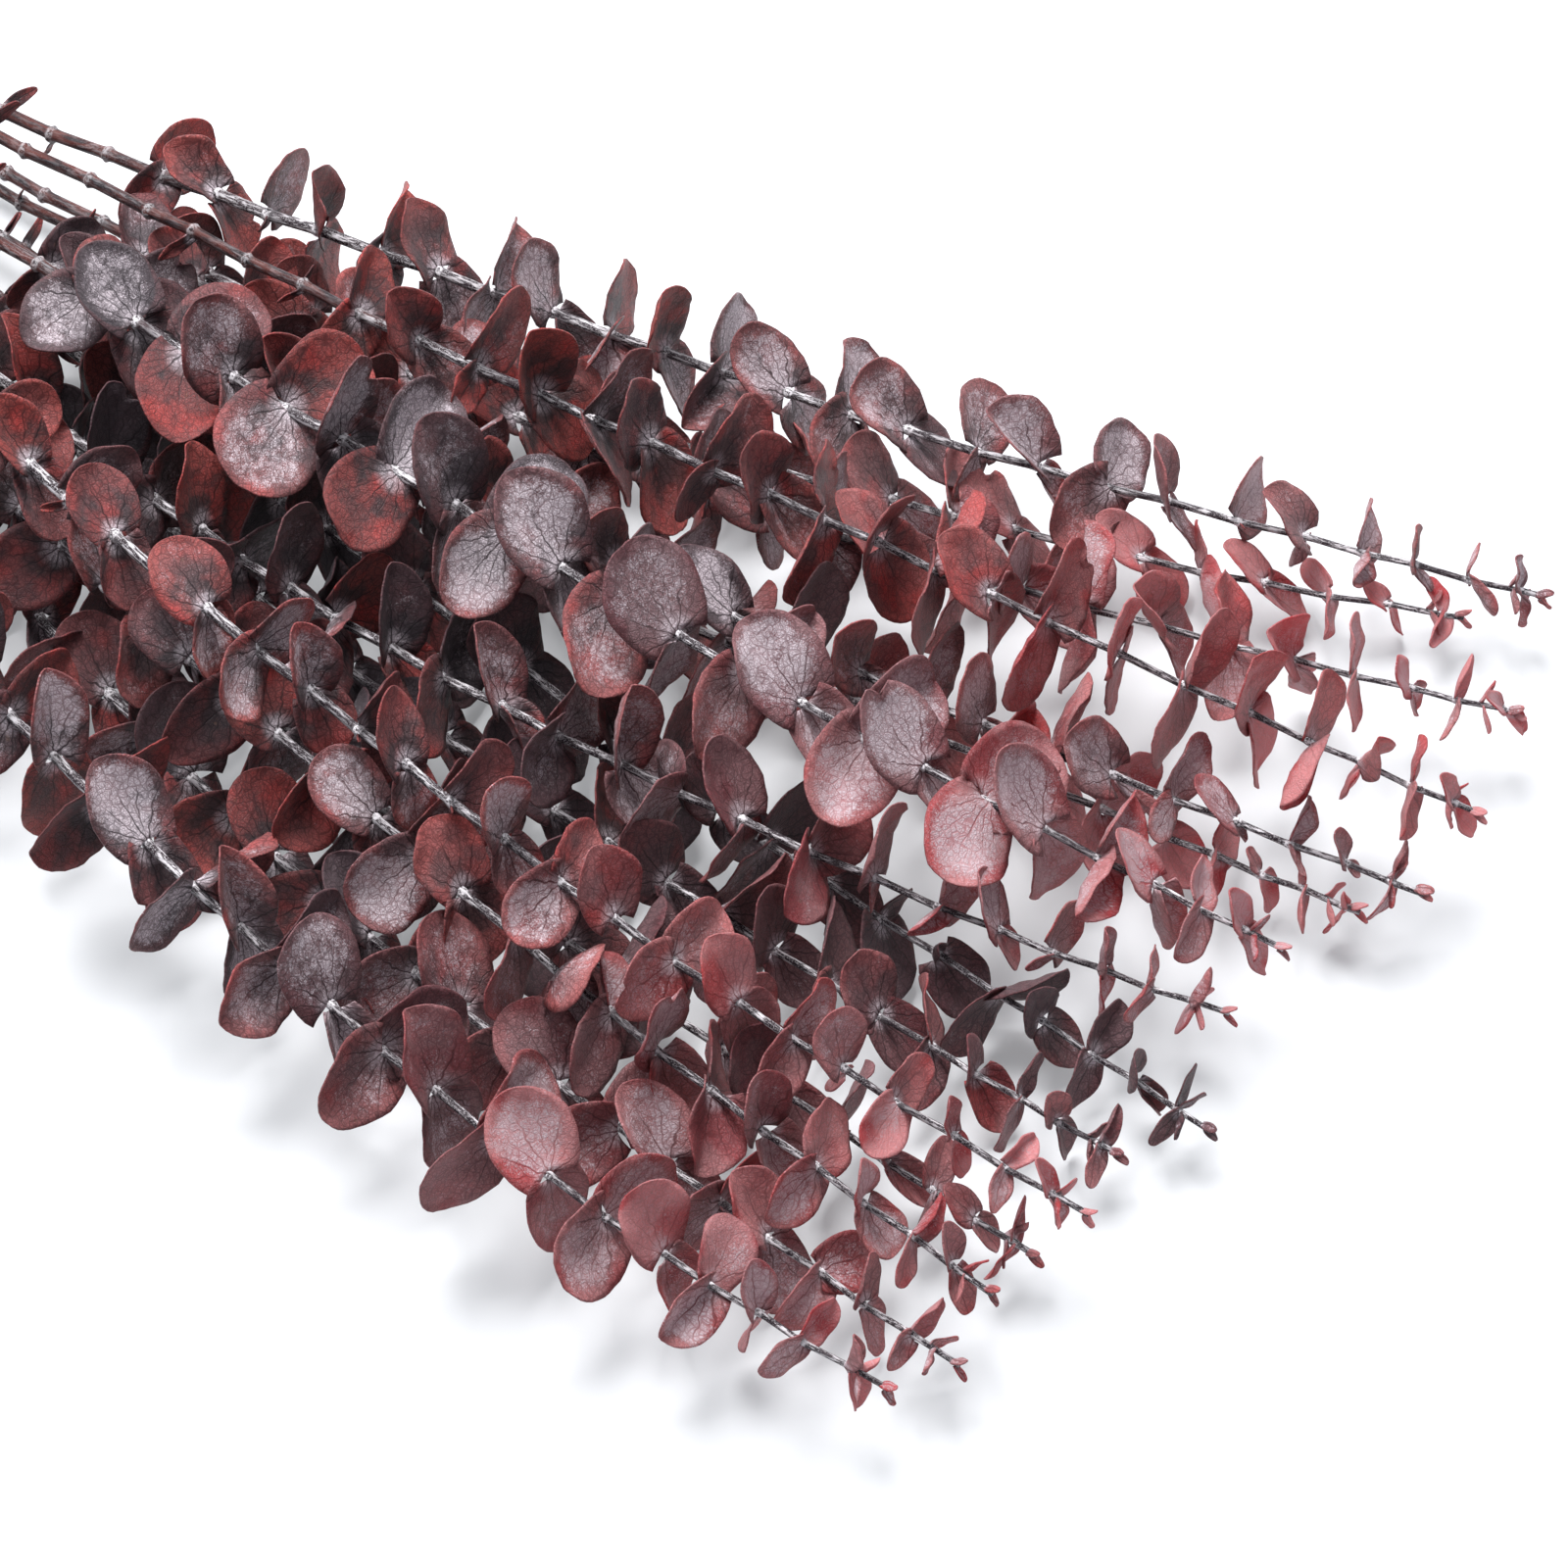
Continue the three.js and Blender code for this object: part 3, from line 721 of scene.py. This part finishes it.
class Amount:
    """A number in a material, which can be worked with like any other number."""

    def __init__(self, look, socket):
        self.look = look
        self.socket = socket

    def _math(self, operation, first, second=0.0):
        return self.look.node("ShaderNodeMath", {"operation": operation}, {0: first, 1: second})

    def __add__(self, other):
        return self._math("ADD", self, other)

    def __radd__(self, other):
        return self._math("ADD", other, self)

    def __sub__(self, other):
        return self._math("SUBTRACT", self, other)

    def __rsub__(self, other):
        return self._math("SUBTRACT", other, self)

    def __mul__(self, other):
        return self._math("MULTIPLY", self, other)

    def __rmul__(self, other):
        return self._math("MULTIPLY", other, self)

    def __truediv__(self, other):
        return self._math("DIVIDE", self, other)

    def __rtruediv__(self, other):
        return self._math("DIVIDE", other, self)

    def __pow__(self, other):
        return self._math("POWER", self, other)

    def __rpow__(self, other):
        return self._math("POWER", other, self)

    def least(self, other):
        return self._math("MINIMUM", self, other)

    def most(self, other):
        return self._math("MAXIMUM", self, other)

    def size(self):
        return self._math("ABSOLUTE", self)

    def wave(self):
        return self._math("SINE", self)

    def ramp(self, low, high):
        """0 below low, 1 above high and smooth between; the other way round if high < low."""
        values = {"Value": self, "From Min": min(low, high), "From Max": max(low, high)}
        if high < low:
            values.update({"To Min": 1.0, "To Max": 0.0})
        return self.look.node("ShaderNodeMapRange", {"interpolation_type": "SMOOTHSTEP"}, values)


class Look:
    """A material and the nodes that make it."""

    def __init__(self, name):
        self.material = bpy.data.materials.new(name)
        self.material.use_nodes = True
        self.tree = self.material.node_tree
        self.tree.nodes.clear()

    def node(self, kind, settings, values, output=0):
        node = self.tree.nodes.new(kind)
        for setting, value in settings.items():
            setattr(node, setting, value)
        for name, value in values.items():
            if isinstance(value, Amount):
                self.tree.links.new(value.socket, node.inputs[name])
            else:
                node.inputs[name].default_value = value
        return Amount(self, node.outputs[output]) if node.outputs else None

    def field(self, name, output="Fac"):
        """What a mesh says of each of its points."""
        return self.node("ShaderNodeAttribute", {"attribute_name": name}, {}, output)

    def mix(self, share, first, second):
        settings = {"data_type": "RGBA", "clamp_factor": True}
        return self.node("ShaderNodeMix", settings, {0: share, 6: first, 7: second}, 2)

    def noise(self, place, scale, detail=3.0, roughness=0.55):
        values = {"Vector": place, "Scale": scale, "Detail": detail, "Roughness": roughness}
        return self.node("ShaderNodeTexNoise", {}, values, "Fac")

    def shifted(self, place, scale, amount):
        """The place, moved about by a smooth disturbance."""
        values = {"Vector": place, "Scale": scale, "Detail": 2.0}
        drift = self.node("ShaderNodeTexNoise", {}, values, "Color")
        centred = self.vector("SUBTRACT", drift, (0.5, 0.5, 0.5))
        return self.vector("ADD", place, self.vector("MULTIPLY", centred, (amount, amount, 0)))

    def vector(self, operation, first, second):
        return self.node("ShaderNodeVectorMath", {"operation": operation}, {0: first, 1: second})

    def split(self, place):
        parts = self.node("ShaderNodeSeparateXYZ", {}, {0: place})
        return [Amount(self, socket) for socket in parts.socket.node.outputs]

    def cell_edges(self, place, scale):
        """How far a place is from the nearest edge between cells."""
        settings, values = {"feature": "DISTANCE_TO_EDGE"}, {"Vector": place, "Scale": scale}
        return self.node("ShaderNodeTexVoronoi", settings, values, "Distance")

    def bump(self, height, distance, strength):
        values = {"Height": height, "Distance": distance, "Strength": strength}
        return self.node("ShaderNodeBump", {}, values)

    def finish(self, surface):
        self.node("ShaderNodeOutputMaterial", {}, {"Surface": surface})
        return self.material


def leaf_look():
    look = Look("dyed eucalyptus leaf")
    place = look.field("leaf_plane", "Vector")
    rim, reach = look.field("rim"), look.field("reach")
    red, young, wax = look.field("red"), look.field("young"), look.field("wax")
    # Veins spread from the petiole, and more of them start further out.
    warped = look.shifted(place, 0.30, 2.6)
    x, y, _ = look.split(warped)
    turn = look.node("ShaderNodeMath", {"operation": "ARCTAN2"}, {0: y, 1: x + 1.2})
    out = ((x + 1.2) * (x + 1.2) + y * y) ** 0.5

    def spread_veins(count, width):
        return ((turn * count).wave().size() * out / count).ramp(width, 0.3 * width)

    first = spread_veins(4.5, 0.34) * out.ramp(21.0, 9.0)
    second = spread_veins(9.0, 0.25) * out.ramp(2.0, 4.5) * out.ramp(21.0, 12.0)
    third = spread_veins(18.0, 0.20) * out.ramp(6.0, 9.0)
    fine = look.cell_edges(look.shifted(place, 1.3, 0.5), 1.35).ramp(0.17, 0.03)
    coarse = look.cell_edges(warped, 0.45).ramp(0.085, 0.03)
    veins = first.most(second * 0.9).most(third * 0.6).most(coarse * 0.7).most(fine * 0.50)
    # The wax is thick by the petiole, thin at the rim and rubbed off in patches.
    patches = look.noise(place, 0.12, 3.0)
    speckle = look.noise(place, 2.3, 4.0, 0.8)
    mottle = 0.28 * patches + 0.27 * look.noise(place, 0.50, 4.0, 0.7) + 0.45 * speckle
    spread = wax * (rim.ramp(1.05, 0.60) * 0.60 + 0.40)
    bloom = ((mottle - 0.66 + 0.30 * spread) * 8.0).ramp(0.0, 1.0) * 0.80
    bloom = bloom + 0.34 * young * speckle.ramp(0.49, 0.60)
    bloom = (bloom + spread * 0.16 + 0.02).most(reach.ramp(0.28, 0.06) * 0.9).least(0.95)
    bloom = bloom * (1 - 0.92 * veins)
    worn = patches.ramp(0.40, 0.60)
    # Low red turns a leaf to the dark colours here; on the low branches that is partly painted
    # shade.
    inner = look.mix(red, HEART_DARK, HEART_RED)
    outer = look.mix(red, OUTER_DARK, OUTER_RED)
    flushed = (reach + 0.45 * (worn - 0.5)).ramp(0.10, 0.85)
    lively = look.mix(flushed, inner, outer)
    lively = look.mix(look.noise(place, 0.09, 2.0).ramp(0.50, 0.70) * red, lively, DYE_RED)
    tender = look.mix(look.noise(place, 0.05, 2.0).ramp(0.48, 0.60), YOUNG_PINK, YOUNG_RED)
    lively = look.mix(young * 0.9, lively, tender)
    spots = look.noise(place, 0.35, 3.0).ramp(0.66, 0.78) * 0.5
    dried = look.mix(spots, lively, DRY_BROWN)
    edged = look.mix(rim.ramp(0.94, 1.0) * 0.35, dried, RIM_RED)
    veined = look.mix(veins * (0.85 - 0.5 * young), edged, VEIN_DARK)
    colour = look.mix(bloom, veined, LEAF_WAX)
    height = speckle.ramp(0.42, 0.56) * 0.3 + bloom * 0.4 - veins * 0.9
    normal = look.bump(height, 0.00025, 0.7)
    surface = look.node("ShaderNodeBsdfPrincipled", {}, {
        "Base Color": colour,
        "Roughness": 0.42 + 0.28 * bloom,
        "Normal": normal,
        "Specular IOR Level": 0.34,
        "Sheen Weight": 0.04,
        "Sheen Roughness": 0.5,
    })
    # Young leaves let more light through than the thick old ones.
    thinness = (0.06 + 0.44 * young) * (1 - 0.6 * veins)
    through = look.node("ShaderNodeBsdfTranslucent", {}, {"Color": LIT_THROUGH, "Normal": normal})
    return look.finish(look.node("ShaderNodeMixShader", {}, {0: thinness, 1: surface, 2: through}))


def stem_look():
    look = Look("waxy eucalyptus stem")
    place = look.field("stem_plane", "Vector")
    ringed, bareness = look.field("ringed"), look.field("bareness")
    stretched = look.vector("MULTIPLY", place, (0.16, 1.0, 1.0))
    # White wax lies in streaks and flecks, and in crusts at the joints.
    streaks = look.noise(stretched, 1.3, 5.0, 0.7).ramp(0.49, 0.58)
    flecks = look.noise(place, 2.4, 4.0, 0.7).ramp(0.52, 0.60)
    stretches = look.noise(place, 0.035, 2.0).ramp(0.35, 0.60)
    fibre = look.noise(look.vector("MULTIPLY", place, (0.05, 1.0, 1.0)), 3.0, 3.0)
    wax = streaks.most(flecks * 0.6) * (0.26 + 0.70 * stretches) * (1.0 - 0.85 * bareness)
    crusts = look.noise(place, 1.1, 4.0, 0.7).ramp(0.42, 0.55)
    wax = wax.most(ringed.ramp(0.05, 0.5) * crusts * (1.0 - 0.62 * bareness))
    bark = look.mix(look.noise(stretched, 0.9, 3.0), BARK_DARK, BARK_BROWN)
    reddened = look.noise(stretched, 0.7, 3.0).ramp(0.35, 0.65)
    bare_bark = look.mix(reddened, BARE_DARK, BARE_RED)
    colour = look.mix(wax, look.mix(bareness, bark, bare_bark), STEM_WAX)
    surface = look.node("ShaderNodeBsdfPrincipled", {}, {
        "Base Color": colour,
        "Roughness": 0.48 + 0.25 * wax,
        "Normal": look.bump(fibre * 0.6 + wax * 0.4, 0.0003, 0.8),
        "Specular IOR Level": 0.22,
    })
    return look.finish(surface)


def table_look():
    look = Look("pale table")
    surface = look.node("ShaderNodeBsdfPrincipled", {}, {
        "Base Color": TABLE_COLOUR,
        "Roughness": 0.75,
        "Specular IOR Level": 0.2,
        "Emission Color": TABLE_GLOW,
        "Emission Strength": 0.22,
    })
    return look.finish(surface)


# ---- The table, the lights and the camera ----
CAMERA_TURN = 37.2             # degrees round from the -Y side
CAMERA_RISE = 55
CAMERA_DISTANCE = 1.30
VIEW_WIDTH = 0.410             # of what the camera sees, at the middle of the bunch
VIEW_MIDDLE = (525, -14, 0)    # in the layout's millimetres
SENSOR = 36
TABLE_HALF = 4                 # metres from the middle of the table to its edge
SKY_COLOUR, SKY_STRENGTH = (0.90, 0.94, 1.0, 1), 0.52
LIGHT_DISTANCE = 1.6
LIGHT_SIZE = 0.9


def direction(turn, rise):
    """The way from the middle of the view to a place round it."""
    turn, rise = turn * DEGREE, rise * DEGREE
    flat = math.cos(rise)
    return Vector((math.sin(turn) * flat, -math.cos(turn) * flat, math.sin(rise)))


def aim(thing, place, target):
    """Puts a camera or a light in its place, facing the target."""
    thing.location = place
    thing.rotation_euler = (target - place).to_track_quat("-Z", "Y").to_euler()


def add_camera(target):
    data = bpy.data.cameras.new("camera")
    data.sensor_width = SENSOR
    data.lens = SENSOR * CAMERA_DISTANCE / VIEW_WIDTH
    camera = bpy.data.objects.new("camera", data)
    bpy.context.collection.objects.link(camera)
    aim(camera, target + direction(CAMERA_TURN, CAMERA_RISE) * CAMERA_DISTANCE, target)
    bpy.context.scene.camera = camera


def add_light(name, target, turn, rise, power, colour):
    data = bpy.data.lights.new(name, "AREA")
    data.size = LIGHT_SIZE
    data.energy = power
    data.color = colour
    light = bpy.data.objects.new(name, data)
    bpy.context.collection.objects.link(light)
    aim(light, target + direction(turn, rise) * LIGHT_DISTANCE, target)


def add_table():
    mesh = bpy.data.meshes.new("table")
    shape = bmesh.new()
    bmesh.ops.create_grid(shape, x_segments=1, y_segments=1, size=TABLE_HALF)
    shape.to_mesh(mesh)
    shape.free()
    mesh.materials.append(table_look())
    table = bpy.data.objects.new("table", mesh)
    bpy.context.collection.objects.link(table)


def add_sky():
    world = bpy.data.worlds.new("studio")
    world.use_nodes = True
    background = world.node_tree.nodes["Background"]
    background.inputs["Color"].default_value = SKY_COLOUR
    background.inputs["Strength"].default_value = SKY_STRENGTH
    bpy.context.scene.world = world


bpy.context.scene.view_settings.view_transform = "Standard"
view_middle = Vector(to_model(np.array(VIEW_MIDDLE, dtype=float)))
add_camera(view_middle)
add_table()
add_sky()
add_light("overhead softbox", view_middle, 232, 64, 50, (1.0, 0.99, 0.99))
add_light("side softbox", view_middle, 300, 45, 6, (0.97, 0.99, 1.0))

leaf_material = leaf_look()
stem_material = stem_look()
for index in range(len(BRANCHES)):
    make_stem(index, stem_material)
    for row in (0, 1):
        make_leaf_row(index, row, leaf_material)
